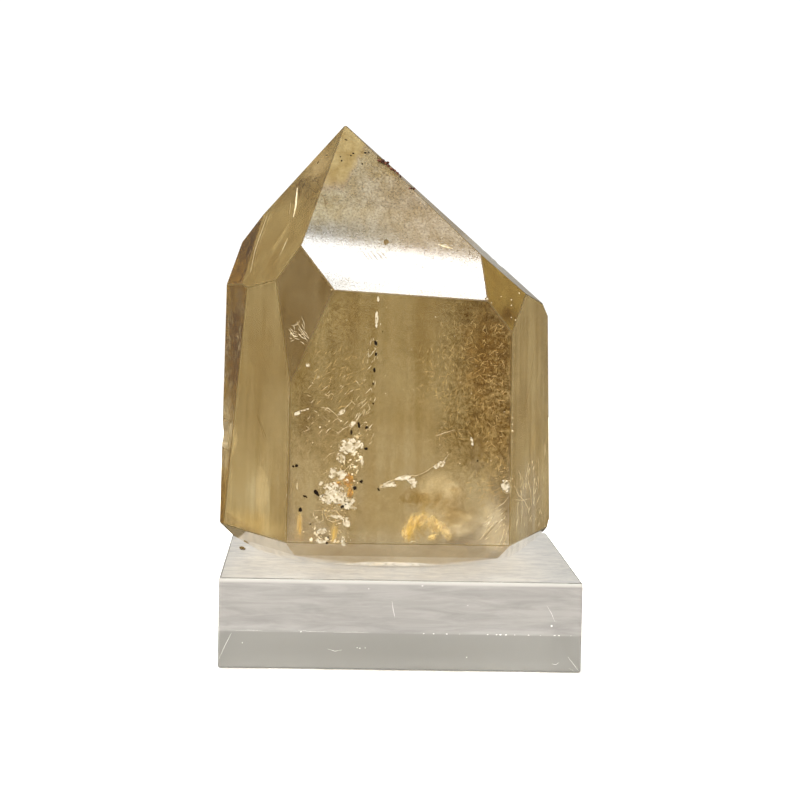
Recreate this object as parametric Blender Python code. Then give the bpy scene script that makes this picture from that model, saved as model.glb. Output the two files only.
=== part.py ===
"""A polished citrine crystal point resting on a clear acrylic display block.

Metres, +Z up. The origin is the middle of the block's underside, the viewer stands at -Y and +X is the
viewer's right. The crystal is cut out of a rough cube, one flat face at a time, the way a lapidary grinds it.
"""

import math

import bmesh
import bpy
from mathutils import Matrix, Vector

MM = 0.001

# The display block: a 3 x 3 x 3/4 inch slab with polished, slightly eased edges.
BLOCK_SIDE = 76.2 * MM
BLOCK_HEIGHT = 19.05 * MM
BLOCK_EASED_EDGE = 0.45 * MM

# The crystal rests on the block, a hair's breadth above it.
RESTING_GAP = 0.3 * MM
CRYSTAL_FOOT = BLOCK_HEIGHT + RESTING_GAP

# Every face of the crystal is measured from this point inside it.
HEART = Vector((-3.0, 0.0, 60.0)) * MM

# A face is (compass direction, lean, distance from the heart). The compass is in degrees, 0 towards the
# viewer and 90 to the viewer's right. The lean is how far the face looks upwards, in degrees.
PRISM_FACES = {
    "front": (1, 1.0, 29.9),
    "front left": (-62, 1.0, 32.8),
    "left": (-72, 2.5, 33.7),
    "back left": (-117, -2.5, 34.1),
    "back": (179, 1.5, 29.0),
    "back right": (116, 3.5, 33.1),
    "front right": (70, 1.0, 34.3),
}
TIP_FACES = {
    "front window": (3, 36.0, 34.8),
    "front left slope": (-67, 31.0, 37.8),
    "left slope": (-73, 27.5, 38.2),
    "back left slope": (-140, 46.0, 42.1),
    "back slope": (177, 43.0, 38.6),
    "back right slope": (110, 47.0, 33.0),
    "right slope": (81, 49.0, 35.2),
    "left kite": (-28, 13.0, 35.5),
    "right corner": (46, 30.5, 39.0),
    "blunt tip": (0, 84.0, 55.1),
}

# The foot: each prism face ends in a 45 degree chamfer, and below that the stone is rounded in to an
# oval foot, which is what it stands on.
CHAMFER_TOP = 6.2 * MM
CHAMFER_BOTTOM = 3.0 * MM
CHAMFER_LEAN = -45.0
FOOT_CENTRE = Vector((-2.0, 4.0)) * MM
FOOT_HALF_WIDTH = 29.5 * MM
FOOT_HALF_DEPTH = 25.5 * MM
FOOT_STEPS = 44

POLISHED_EDGE = 0.16 * MM

# Knocks and pits: (place, half size of the scoop that leaves it, turn about Z in degrees).
CHIPS = {
    "left edge flake": ((-40.3, -1.6, 45.8), (3.1, 4.0, 4.3), -20),
    "pitted hollow, top": ((-4.4, -8.0, 107.9), (1.9, 2.6, 1.5), 0),
    "pitted hollow, middle": ((-2.4, -7.0, 106.3), (1.8, 3.0, 1.4), 15),
    "pitted hollow, bottom": ((-0.7, -7.6, 104.8), (1.5, 2.4, 1.2), -10),
    "ridge notch": ((2.0, -10.6, 101.9), (1.2, 2.2, 1.2), 0),
    "ridge chip, upper": ((18.3, -4.2, 88.6), (1.0, 2.0, 0.9), 0),
    "ridge chip, middle": ((20.4, -4.2, 86.9), (1.2, 2.5, 1.0), 12),
    "ridge chip, lower": ((22.3, -4.2, 85.3), (1.6, 3.0, 1.2), -8),
    "right corner nick": ((17.2, -29.6, 78.2), (0.9, 0.9, 0.7), 0),
    "left corner nick": ((-15.8, -30.0, 79.6), (0.6, 0.6, 0.6), 0),
    "right edge flake": ((22.5, -30.5, 38.2), (1.6, 1.4, 1.9), 10),
    "foot corner chip": ((35.3, 2.4, 25.6), (1.6, 2.6, 1.6), 0),
    "left foot nick": ((-40.6, 0.2, 25.2), (1.2, 2.2, 1.2), 0),
    "window pit": ((-4.2, -22.2, 89.8), (0.7, 0.9, 1.0), 0),
    "window scuff": ((8.4, -21.8, 89.4), (1.6, 0.8, 0.7), 0),
    "back edge flake": ((18.6, 29.8, 41.0), (2.2, 2.2, 5.0), 30),
}


def remove_everything():
    for thing in list(bpy.data.objects):
        bpy.data.objects.remove(thing, do_unlink=True)


def facing(compass, lean):
    """The unit vector of a face that looks along this compass direction and leans upwards this much."""
    turn, rise = math.radians(compass), math.radians(lean)
    return Vector((math.sin(turn) * math.cos(rise), -math.cos(turn) * math.cos(rise), math.sin(rise)))


def material(name, colour, roughness, transmission, ior):
    made = bpy.data.materials.new(name)
    made.use_nodes = True
    made.diffuse_color = (*colour, 1.0)
    shader = made.node_tree.nodes["Principled BSDF"]
    shader.inputs["Base Color"].default_value = (*colour, 1.0)
    shader.inputs["Metallic"].default_value = 0.0
    shader.inputs["Roughness"].default_value = roughness
    shader.inputs["Transmission Weight"].default_value = transmission
    shader.inputs["IOR"].default_value = ior
    return made


def finished(name, shape, surface):
    """Turns a bmesh into a named object that wears this material."""
    mesh = bpy.data.meshes.new(name)
    shape.to_mesh(mesh)
    shape.free()
    mesh.materials.append(surface)
    made = bpy.data.objects.new(name, mesh)
    bpy.context.scene.collection.objects.link(made)
    return made


def grind(shape, point, normal):
    """Takes off all that lies beyond a plane and closes the cut with one flat face."""
    cut = bmesh.ops.bisect_plane(
        shape,
        geom=shape.verts[:] + shape.edges[:] + shape.faces[:],
        dist=1e-7,
        plane_co=point,
        plane_no=normal,
        clear_outer=True,
    )
    rim = [piece for piece in cut["geom_cut"] if isinstance(piece, bmesh.types.BMEdge)]
    if rim:
        bmesh.ops.contextual_create(shape, geom=rim)


def reach(compass, lean, distance, height):
    """How far a prism face stands out from the heart's upright line at this height."""
    rise = math.radians(lean)
    return (distance * MM - math.sin(rise) * (height - HEART.z)) / math.cos(rise)


def grind_prism_and_tip(shape):
    for compass, lean, distance in [*PRISM_FACES.values(), *TIP_FACES.values()]:
        normal = facing(compass, lean)
        grind(shape, HEART + normal * distance * MM, normal)


def grind_chamfers(shape):
    top = CRYSTAL_FOOT + CHAMFER_TOP
    for compass, lean, distance in PRISM_FACES.values():
        on_face = facing(compass, 0) * reach(compass, lean, distance, top)
        point = Vector((HEART.x + on_face.x, HEART.y + on_face.y, top))
        grind(shape, point, facing(compass, CHAMFER_LEAN))
    grind(shape, Vector((0, 0, CRYSTAL_FOOT + CHAMFER_BOTTOM)), Vector((0, 0, -1)))


def round_in_to_foot(shape):
    """Adds the oval foot and stretches the stone's skin down to it."""
    for step in range(FOOT_STEPS):
        turn = math.tau * step / FOOT_STEPS
        across = FOOT_CENTRE.x + FOOT_HALF_WIDTH * math.cos(turn)
        along = FOOT_CENTRE.y + FOOT_HALF_DEPTH * math.sin(turn)
        shape.verts.new((across, along, CRYSTAL_FOOT))
    bmesh.ops.delete(shape, geom=shape.edges[:], context="EDGES_FACES")
    hull = bmesh.ops.convex_hull(shape, input=shape.verts[:], use_existing_faces=False)
    spare = [piece for piece in hull["geom_interior"] if isinstance(piece, bmesh.types.BMVert)]
    bmesh.ops.delete(shape, geom=spare, context="VERTS")
    bmesh.ops.recalc_face_normals(shape, faces=shape.faces[:])
    bmesh.ops.dissolve_limit(
        shape, angle_limit=math.radians(0.4), verts=shape.verts[:], edges=shape.edges[:]
    )


def ease_edges(shape):
    """Softens the ground edges, as polishing does, and leaves the foot's many small facets alone."""
    sharp = [edge for edge in shape.edges if edge.calc_face_angle(0) > math.radians(9)]
    bmesh.ops.bevel(
        shape,
        geom=sharp,
        offset=POLISHED_EDGE,
        offset_type="OFFSET",
        segments=1,
        profile=0.5,
        affect="EDGES",
        material=-1,
        clamp_overlap=True,
    )


def crystal():
    shape = bmesh.new()
    bmesh.ops.create_cube(shape, size=200 * MM, matrix=Matrix.Translation(HEART))
    grind_prism_and_tip(shape)
    grind_chamfers(shape)
    round_in_to_foot(shape)
    ease_edges(shape)
    surface = material("Polished citrine", (0.72, 0.50, 0.20), 0.06, 1.0, 1.544)
    return finished("citrine_crystal", shape, surface)


def knock_out(stone, name, place, size, turn):
    """Knocks a scoop out of the stone with an uneven, hidden cutter."""
    shape = bmesh.new()
    bmesh.ops.create_icosphere(shape, subdivisions=2, radius=1.0)
    for corner in shape.verts:
        ripple = 1 + 0.10 * math.sin(5 * corner.co.x + 3 * corner.co.z) + 0.08 * math.cos(7 * corner.co.y)
        corner.co = Vector((corner.co.x * size[0], corner.co.y * size[1], corner.co.z * size[2])) * ripple * MM
    cutter = finished(f"cutter, {name}", shape, stone.data.materials[0])
    cutter.location = Vector(place) * MM
    cutter.rotation_euler.z = math.radians(turn)
    cutter.hide_render = True
    cutter.display_type = "WIRE"
    chip = stone.modifiers.new(name, "BOOLEAN")
    chip.operation = "DIFFERENCE"
    chip.solver = "EXACT"
    chip.object = cutter


def display_block():
    shape = bmesh.new()
    size = Matrix.Diagonal((BLOCK_SIDE, BLOCK_SIDE, BLOCK_HEIGHT, 1))
    middle = Matrix.Translation((0, 0, BLOCK_HEIGHT / 2))
    bmesh.ops.create_cube(shape, size=1, matrix=middle @ size)
    bmesh.ops.bevel(
        shape,
        geom=shape.edges[:],
        offset=BLOCK_EASED_EDGE,
        offset_type="OFFSET",
        segments=2,
        profile=0.5,
        affect="EDGES",
        material=-1,
    )
    surface = material("Clear acrylic", (0.93, 0.92, 0.90), 0.03, 1.0, 1.49)
    return finished("display_block", shape, surface)


remove_everything()
display_block()
stone = crystal()
for chip_name, (place, size, turn) in CHIPS.items():
    knock_out(stone, chip_name, place, size, turn)
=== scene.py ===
# %% [markdown]
# # A citrine point on an acrylic block
# The object is two things: a stone that was ground flat and polished, and the clear slab it stands on.
# The solids come ready made from the frame. This notebook gives them their finish, and puts inside the
# stone what a real citrine has in it: haze, healed cracks, pale flakes, dark specks and feathers.

import math
import random

import bmesh
import bpy
from mathutils import Matrix, Vector, noise


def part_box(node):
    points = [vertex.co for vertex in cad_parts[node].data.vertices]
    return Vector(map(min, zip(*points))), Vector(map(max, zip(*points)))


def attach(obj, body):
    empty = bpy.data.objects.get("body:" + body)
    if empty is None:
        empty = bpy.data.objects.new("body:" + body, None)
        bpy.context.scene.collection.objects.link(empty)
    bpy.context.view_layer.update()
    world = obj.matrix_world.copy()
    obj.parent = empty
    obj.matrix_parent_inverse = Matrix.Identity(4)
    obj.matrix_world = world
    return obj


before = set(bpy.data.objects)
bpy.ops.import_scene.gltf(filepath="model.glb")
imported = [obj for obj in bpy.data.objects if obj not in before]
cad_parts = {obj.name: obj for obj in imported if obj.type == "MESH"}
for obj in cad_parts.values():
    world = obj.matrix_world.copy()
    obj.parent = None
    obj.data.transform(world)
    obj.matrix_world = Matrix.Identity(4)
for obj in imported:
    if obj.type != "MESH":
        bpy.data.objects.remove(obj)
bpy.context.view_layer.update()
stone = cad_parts["citrine_crystal"]
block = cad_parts["display_block"]
BLOCK_LOW, BLOCK_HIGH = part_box("display_block")
scene = bpy.context.scene

# %% [markdown]
# ## Small helpers
# Sizes below are written in millimetres, as a lapidary would give them, and colours as sRGB hex values,
# which Blender wants as linear light. One function adds a node to a material, fills its sockets, and
# links whatever it is given that is itself a socket.

# %% Millimetres, colours and nodes
MM = 0.001


def linear(hex_colour, alpha=1.0):
    """An sRGB hex colour, such as "#c8a060", as the linear RGBA that shaders use."""
    channels = [int(hex_colour[i:i + 2], 16) / 255 for i in (1, 3, 5)]
    return (*[c / 12.92 if c <= 0.04045 else ((c + 0.055) / 1.055) ** 2.4 for c in channels], alpha)


def add(tree, kind, inputs=None, **settings):
    """Adds a node, sets its settings, and fills or links its sockets by name or number."""
    made = tree.nodes.new(kind)
    for name, value in settings.items():
        setattr(made, name, value)
    for socket, value in (inputs or {}).items():
        if isinstance(value, bpy.types.NodeSocket):
            tree.links.new(value, made.inputs[socket])
        else:
            made.inputs[socket].default_value = value
    return made


def new_material(name):
    """An empty node material and its tree."""
    made = bpy.data.materials.new(name)
    made.use_nodes = True
    made.node_tree.nodes.clear()
    return made, made.node_tree


def set_stops(ramp, stops):
    """Gives a colour ramp its stops, each a place from 0 to 1 and a hex colour."""
    bands = ramp.color_ramp.elements
    for place, shade in stops:
        bands.new(place).color = linear(shade)
    bands.remove(bands[0])
    bands.remove(bands[-1])


# %% [markdown]
# ## Camera
# A long lens from half a metre away, a little above the stone's middle and just left of it.

# %% Camera
camera_data = bpy.data.cameras.new("camera")
camera_data.lens = 96.8
camera_data.sensor_width = 36.0
camera_data.clip_start = 0.01
camera = bpy.data.objects.new("camera", camera_data)
camera.location = Vector((-17.1, -482.9, 91.5)) * MM
camera.rotation_euler = [math.radians(a) for a in (85.55, -1.23, -1.96)]
scene.collection.objects.link(camera)
scene.camera = camera
print("camera", [round(c, 3) for c in camera.location])

# %% [markdown]
# ## Light
# Clear stone shows the room more than its own surface, so the room matters most. What the stone bends
# is a soft warm grey, brighter overhead. What it mirrors is dimmer, as a dark room around the viewer would
# be, except for a white backdrop straight behind the stone. The camera itself sees plain white.

# %% World and view
scene.view_settings.view_transform = "Standard"
scene.cycles.max_bounces = 20
scene.cycles.transmission_bounces = 16
scene.cycles.transparent_max_bounces = 32

world = bpy.data.worlds.new("studio")
world.use_nodes = True
sky = world.node_tree
sky.nodes.clear()
direction = add(sky, "ShaderNodeTexCoord").outputs["Generated"]
height = add(sky, "ShaderNodeSeparateXYZ", {0: direction}).outputs["Z"]
backwards = add(sky, "ShaderNodeSeparateXYZ", {0: direction}).outputs["Y"]
ramp = add(sky, "ShaderNodeValToRGB", {0: add(sky, "ShaderNodeMapRange", {0: height, 1: -1.0, 2: 1.0}).outputs[0]})
set_stops(ramp, ((0.02, "#b9b7b2"), (0.45, "#b9b7b2"), (0.66, "#bfbdb9"), (0.85, "#ffffff")))
seen = add(sky, "ShaderNodeBackground", {"Color": (1, 1, 1, 1), "Strength": 1.1}).outputs[0]
ray = add(sky, "ShaderNodeLightPath")
scattered = add(sky, "ShaderNodeMapRange", {0: ray.outputs["Diffuse Depth"], 3: 1.65, 4: 9.0}).outputs[0]
open_air = add(sky, "ShaderNodeBackground", {"Color": ramp.outputs[0], "Strength": 1.6}).outputs[0]
bent = add(sky, "ShaderNodeBackground", {"Color": ramp.outputs[0], "Strength": scattered}).outputs[0]
backdrop = add(sky, "ShaderNodeMapRange", {0: backwards, 1: 0.972, 2: 0.995, 3: 0.16, 4: 1.15}).outputs[0]
mirrored = add(sky, "ShaderNodeBackground", {"Color": ramp.outputs[0], "Strength": backdrop}).outputs[0]
glossy = add(sky, "ShaderNodeMixShader", {0: ray.outputs["Is Glossy Ray"], 1: open_air, 2: mirrored}).outputs[0]
through = add(sky, "ShaderNodeMixShader", {0: ray.outputs["Is Transmission Ray"], 1: glossy, 2: bent}).outputs[0]
add(sky, "ShaderNodeOutputWorld", {0: add(sky, "ShaderNodeMixShader", {
    0: ray.outputs["Is Camera Ray"], 1: through, 2: seen}).outputs[0]})
scene.world = world

# %% [markdown]
# Two large soft panels light the table and the block. They are kept out of what the stone bends, or
# their square outlines would show in every facet.

# %% Soft panels


def soft_panel(name, place, size, power):
    data = bpy.data.lights.new(name, "AREA")
    data.shape = "RECTANGLE"
    data.size, data.size_y = size
    data.energy = power
    data.color = linear("#fffdf8")[:3]
    lamp = bpy.data.objects.new(name, data)
    lamp.location = place
    lamp.rotation_euler = (Vector((0, 0, 0.05)) - Vector(place)).to_track_quat("-Z", "Y").to_euler()
    lamp.visible_transmission = False
    lamp.visible_glossy = False
    scene.collection.objects.link(lamp)
    print(name, power, "W")


soft_panel("top panel", (-0.35, -0.35, 1.1), (0.9, 0.9), 25)
soft_panel("back panel", (0.3, 0.9, 0.7), (0.9, 0.5), 2)

# %% [markdown]
# The broad front slope mirrors a window. A mirror has one answer here: the window's far edge has to be
# 22 cm in front of the stone at a height of 70 cm, or its white would end elsewhere on the facet.
# A dimmer strip beyond it stands for the blind above the window.

# %% Window, blind and table


def flat_card(name, low, high, at_height, material, turn=0.0):
    """A level stage card, from one corner to the other, in metres, then turned about its far edge."""
    shape = bmesh.new()
    bmesh.ops.create_grid(shape, x_segments=1, y_segments=1, size=0.5)
    size = (high[0] - low[0], high[1] - low[1], 1)
    bmesh.ops.scale(shape, vec=size, verts=shape.verts)
    middle = ((low[0] + high[0]) / 2, (low[1] + high[1]) / 2, at_height)
    bmesh.ops.translate(shape, vec=middle, verts=shape.verts)
    bmesh.ops.rotate(shape, cent=(middle[0], high[1], 0), matrix=Matrix.Rotation(math.radians(turn), 3, "Z"),
                     verts=shape.verts)
    mesh = bpy.data.meshes.new(name)
    shape.to_mesh(mesh)
    shape.free()
    mesh.materials.append(material)
    made = bpy.data.objects.new(name, mesh)
    scene.collection.objects.link(made)
    return made


WINDOW_HEIGHT = 0.7
WINDOW_EDGE = -0.2240
WINDOW_TURN = -3.4
SILL_EDGE = -0.2440
BLIND_EDGE = -0.190
for name, near, far, strength, turn in (("window sill", -0.60, SILL_EDGE, 8.2, 0.0), ("window", SILL_EDGE, WINDOW_EDGE, 10.8, WINDOW_TURN),
                                        ("window blind", WINDOW_EDGE, BLIND_EDGE, 0.4, WINDOW_TURN)):
    light, tree = new_material(name)
    lit = add(tree, "ShaderNodeEmission", {"Color": linear("#fafcff"), "Strength": strength}).outputs[0]
    add(tree, "ShaderNodeOutputMaterial", {0: lit})
    card = flat_card(name, (-0.16, near), (0.30, far), WINDOW_HEIGHT, light, turn)
    card.visible_camera = card.visible_diffuse = card.visible_transmission = card.visible_shadow = False

table, tree = new_material("pale table")
# Seen through glass the table is painted grey, as painted shade for the shadowed floor behind the block.
in_glass = add(tree, "ShaderNodeLightPath").outputs["Is Transmission Ray"]
tone = add(tree, "ShaderNodeMix", {0: in_glass, 6: linear("#f4f2ee"), 7: linear("#aaa8a4")}, data_type="RGBA").outputs[2]
add(tree, "ShaderNodeOutputMaterial", {0: add(tree, "ShaderNodeBsdfPrincipled", {
    "Base Color": tone, "Roughness": 0.8, "Specular IOR Level": 0.1}).outputs[0]})
floor = flat_card("table", (-0.8, -0.8), (0.8, 0.6), -0.0002, table)
floor.visible_glossy = False

# %% [markdown]
# ## Patterns in millimetres
# Every pattern below is laid out in the object's own space, so it stays on the stone from any side.
# Object coordinates come in metres, and a thousand times that is millimetres: a noise of scale 1/3 then
# has features about 3 mm across.

# %% Object space in millimetres


def patterned(tree):
    """Object coordinates in millimetres, and the direction that the surface looks in."""
    coordinates = add(tree, "ShaderNodeTexCoord")
    in_mm = add(tree, "ShaderNodeVectorMath", {0: coordinates.outputs["Object"], "Scale": 1000.0}, operation="SCALE")
    return in_mm.outputs[0], coordinates.outputs["Normal"]


def facing(compass, lean):
    """The way a ground face looks: degrees from the front towards the right, and degrees upwards."""
    turn, rise = math.radians(compass), math.radians(lean)
    return Vector((math.sin(turn) * math.cos(rise), -math.cos(turn) * math.cos(rise), math.sin(rise)))


# %% [markdown]
# ## The acrylic block
# A slab sawn from cast acrylic and polished. It is clear, but the saw and the casting leave milky
# streaks in the upper part of its sides, and the top is dulled by what has stood on it. The sides' grey
# is painted light and shade for what the clear block shows of the room, lighter above 8 mm and darker
# below, and the line of light on the eased front edge is a painted highlight.

# %% Cast acrylic
acrylic, tree = new_material("Polished cast acrylic")
where, looks = patterned(tree)
spot = add(tree, "ShaderNodeSeparateXYZ", {0: where}).outputs
out = add(tree, "ShaderNodeSeparateXYZ", {0: looks}).outputs
top = add(tree, "ShaderNodeMapRange", {0: out[2], 1: 0.95, 2: 0.99}).outputs[0]
# The sides count as upright down to the foot's eased edge, but the top's eased edge stays clear.
steep = add(tree, "ShaderNodeMapRange", {0: spot[2], 1: 10.0, 2: 12.0, 3: 0.97, 4: 0.70}).outputs[0]
upright = add(tree, "ShaderNodeMath", {0: add(tree, "ShaderNodeMath", {0: out[2]}, operation="ABSOLUTE").outputs[0],
                                       1: steep}, operation="LESS_THAN").outputs[0]
# Streaks lie nearly level, 14 mm long and 1.6 mm tall. Below 8 mm the side is painted darker and plain, as painted
# shade.
stretched = add(tree, "ShaderNodeMapping", {0: where, "Scale": (1 / 14, 1 / 14, 1 / 1.6), "Rotation": (0, 0.03, 0)}).outputs[0]
streak = add(tree, "ShaderNodeTexNoise", {"Vector": stretched, "Scale": 1.0, "Detail": 6.0, "Roughness": 0.65,
                                          "Distortion": 0.6}).outputs[0]
streak = add(tree, "ShaderNodeMapRange", {0: streak, 1: 0.35, 2: 0.62}).outputs[0]
upper = add(tree, "ShaderNodeMapRange", {0: spot[2], 1: 7.7, 2: 7.95}).outputs[0]
# The top's scuffs run mostly from side to side, about 9 mm long.
scuff = add(tree, "ShaderNodeTexNoise", {"Vector": add(tree, "ShaderNodeMapping", {
    0: where, "Scale": (1 / 5, 1 / 3, 1)}).outputs[0], "Scale": 1.0, "Detail": 7.0, "Roughness": 0.7,
    "Distortion": 1.0}).outputs[0]
scuff = add(tree, "ShaderNodeMapRange", {0: scuff, 1: 0.38, 2: 0.62}).outputs[0]
# Painted highlight: a pale line along the eased front edge, above 18 mm.
painted_edge_highlight = add(tree, "ShaderNodeMapRange", {0: spot[2], 1: 18.0, 2: 18.4}).outputs[0]
# Painted light and shade on the sides: a lighter grey with real streaks above 8 mm, a darker plain grey below.
streaky = add(tree, "ShaderNodeMix", {0: streak, 6: linear("#b1aeac"), 7: linear("#cac7c4")}, data_type="RGBA").outputs[2]
milky = add(tree, "ShaderNodeMix", {0: upper, 6: linear("#a6a5a0"), 7: streaky}, data_type="RGBA").outputs[2]
milky = add(tree, "ShaderNodeMix", {0: painted_edge_highlight, 6: milky, 7: linear("#d2d0ca")}, data_type="RGBA").outputs[2]
dulled = add(tree, "ShaderNodeMix", {0: scuff, 6: linear("#b0b0b0"), 7: linear("#dcdad4")}, data_type="RGBA").outputs[2]
tone = add(tree, "ShaderNodeMix", {0: upright, 6: linear("#fbfaf7"), 7: milky}, data_type="RGBA").outputs[2]
tone = add(tree, "ShaderNodeMix", {0: top, 6: tone, 7: dulled}, data_type="RGBA").outputs[2]
clear = add(tree, "ShaderNodeMapRange", {0: painted_edge_highlight, 3: 0.6, 4: 0.45}).outputs[0]
clear = add(tree, "ShaderNodeMapRange", {0: upright, 3: 1.0, 4: clear}).outputs[0]
clear = add(tree, "ShaderNodeMapRange", {0: top, 3: clear, 4: 0.60}).outputs[0]
dull = add(tree, "ShaderNodeMapRange", {0: top, 3: 0.06, 4: 0.30}).outputs[0]
surface = add(tree, "ShaderNodeBsdfPrincipled", {
    "Base Color": tone, "Roughness": dull, "IOR": 1.49, "Transmission Weight": clear})
absorb = add(tree, "ShaderNodeVolumeAbsorption", {"Color": (0.665, 0.648, 0.625, 1), "Density": 20.0})
add(tree, "ShaderNodeOutputMaterial", {"Surface": surface.outputs[0], "Volume": absorb.outputs[0]})
block.data.materials.clear()
block.data.materials.append(acrylic)
print("block", [round(c, 4) for c in BLOCK_LOW], [round(c, 4) for c in BLOCK_HIGH])

# %% [markdown]
# ## The ground faces
# The stone's faces are flat, so each is a direction and a distance from the stone's heart. The same
# numbers that cut the solid say where a flake or a speck lies under a face.

# %% Faces by name
HEART = Vector((-3, 0, 60))
GROUND_FACES = {
    "front": (1, 1.0, 29.9),
    "front left": (-62, 1.0, 32.8),
    "left": (-72, 2.5, 33.7),
    "front right": (70, 1.0, 34.3),
    "window": (3, 36.0, 34.8),
    "front left slope": (-67, 31.0, 37.8),
    "left slope": (-73, 27.5, 38.2),
    "left kite": (-28, 13.0, 35.5),
    "right corner": (46, 30.5, 39.0),
    "right slope": (81, 49.0, 35.2),
    "back left": (-117, -2.5, 34.1),
    "back": (179, 1.5, 29.0),
    "back right": (116, 3.5, 33.1),
    "back left slope": (-140, 46.0, 42.1),
    "back slope": (177, 43.0, 38.6),
    "back right slope": (110, 47.0, 33.0),
    "foot": (0, -63.4, 45.96),
}


def under(face, across, up, depth=0.0):
    """The place, in mm, that lies at this x and z on a ground face, and so deep below it."""
    compass, lean, distance = GROUND_FACES[face]
    outward = facing(compass, lean)
    along = (distance - outward.x * (across - HEART.x) - outward.z * (up - HEART.z)) / outward.y
    return Vector((across, HEART.y + along, up)) - outward * depth


print("middle of the front face", [round(c, 1) for c in under("front", 0, 50)])

# %% [markdown]
# ## Citrine
# Citrine is quartz: index 1.544, coloured by iron, here a smoky honey yellow. The polish is a sharp clear
# coat over a slightly blurred inside, because healed cracks and fluid specks soften what shows through
# real quartz. Colour comes from absorption along the light's path, and from a ramp up the stone that is
# painted light: lighter at the foot, where light comes up from the white block, and at the thin tip. Part of
# the stone is milky too: where the transmission falls, fluid specks right below the face scatter light.

# %% Citrine quartz
citrine, tree = new_material("Polished citrine quartz")
where, looks = patterned(tree)
spot = add(tree, "ShaderNodeSeparateXYZ", {0: where}).outputs
# A painted light ramp by height: lighter near the foot, where light comes up from the white block, and near the thin
# tip.
up_share = add(tree, "ShaderNodeMapRange", {0: spot[2], 1: 20.0, 2: 115.0}).outputs[0]
painted_height_light = add(tree, "ShaderNodeValToRGB", {0: up_share})
set_stops(painted_height_light, ((0.02, "#fbf5e2"), (0.14, "#f5ecd0"), (0.35, "#e4d6a8"), (0.62, "#dccd9e"), (0.75, "#f0e4c0"),
                   (0.99, "#fff8e4")))
shade = painted_height_light.outputs[0]
# Each ground face is painted its own colour: painted light and shade for how the light falls on that face and what it
# shows through the stone.
PAINTED_FACE_SHADES = {  # face: (colour, milky share)
    "window": ("#9c917e", 0.65),
    "front left slope": ("#ae9862", 0.42),
    "left slope": ("#e8b850", 0.25),
    "left": ("#e0b84c", 0.34),
    "left kite": ("#8f7e5e", 0.22),
    "front left": ("#dac793", 0.18),
    "right corner": ("#c4aa58", 0.16),
    "front right": ("#f0d898", 0.38),
    "right slope": ("#e6dabc", 0.75),
}
masks = {}
for name in GROUND_FACES:
    along = add(tree, "ShaderNodeVectorMath", {0: looks, 1: facing(*GROUND_FACES[name][:2])},
                operation="DOT_PRODUCT").outputs["Value"]
    masks[name] = add(tree, "ShaderNodeMapRange", {0: along, 1: 0.997, 2: 0.999}).outputs[0]
milk = 0.12
for name, (face_tone, share) in PAINTED_FACE_SHADES.items():
    shade = add(tree, "ShaderNodeMix", {0: masks[name], 6: shade, 7: linear(face_tone)}, data_type="RGBA").outputs[2]
    milk = add(tree, "ShaderNodeMapRange", {0: masks[name], 3: milk, 4: share}).outputs[0]

# %% Patterns in the quartz
# Growth clouds 14 mm across, upright growth lines 2.5 mm apart, blotches of 3 mm, specks of 0.7 mm, and
# veins, which are the thin places where a noise crosses its middle value.
stretch = add(tree, "ShaderNodeMapping", {0: where, "Scale": (1 / 2.5, 1 / 2.5, 1 / 45)}).outputs[0]
thin = add(tree, "ShaderNodeMapping", {0: where, "Scale": (1 / 0.9, 1 / 0.9, 1 / 14)}).outputs[0]
clouds = add(tree, "ShaderNodeTexNoise", {"Vector": where, "Scale": 1 / 14, "Detail": 3.0}).outputs[0]
growth = add(tree, "ShaderNodeTexNoise", {"Vector": stretch, "Scale": 1.0, "Detail": 2.0}).outputs[0]
patterns = {
    "blotches": add(tree, "ShaderNodeTexNoise", {"Vector": where, "Scale": 1 / 3, "Detail": 6.0, "Roughness": 0.7,
                                                 "Distortion": 0.8}).outputs[0],
    "specks": add(tree, "ShaderNodeTexNoise", {"Vector": where, "Scale": 1 / 0.7, "Detail": 3.0,
                                               "Roughness": 0.7}).outputs[0],
    "streaks": add(tree, "ShaderNodeTexNoise", {"Vector": thin, "Scale": 1.0, "Detail": 4.0, "Roughness": 0.7,
                                                "Distortion": 0.7}).outputs[0],
}
for name, pattern in patterns.items():
    patterns[name] = add(tree, "ShaderNodeMapRange", {0: pattern, 1: 0.3, 2: 0.7}, clamp=False).outputs[0]
from_middle = add(tree, "ShaderNodeMath", {0: add(tree, "ShaderNodeTexNoise", {
    "Vector": where, "Scale": 1 / 2.6, "Detail": 4.0, "Distortion": 1.2}).outputs[0], 1: 0.5, 2: 0.022}, operation="COMPARE")
patterns["veins"] = from_middle.outputs[0]


def patch(face, across, up, half_width, half_height, pattern, ragged):
    """A ragged oval on one ground face, as a mask."""
    away = add(tree, "ShaderNodeVectorMath", {0: where, 1: under(face, across, up)}, operation="SUBTRACT").outputs[0]
    away = add(tree, "ShaderNodeVectorMath", {0: away, 1: (1 / half_width, 0.02, 1 / half_height)},
               operation="MULTIPLY").outputs[0]
    away = add(tree, "ShaderNodeVectorMath", {0: away}, operation="LENGTH").outputs["Value"]
    away = add(tree, "ShaderNodeMath", {0: patterns[pattern], 1: -ragged, 2: away}, operation="MULTIPLY_ADD").outputs[0]
    inside = add(tree, "ShaderNodeMapRange", {0: away, 1: 0.9 - ragged / 2, 2: -ragged / 2},
                 interpolation_type="SMOOTHSTEP").outputs[0]
    if pattern == "veins":
        inside = add(tree, "ShaderNodeMath", {0: inside, 1: patterns[pattern]}, operation="MULTIPLY").outputs[0]
    return add(tree, "ShaderNodeMath", {0: inside, 1: masks[face]}, operation="MULTIPLY").outputs[0]


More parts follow.
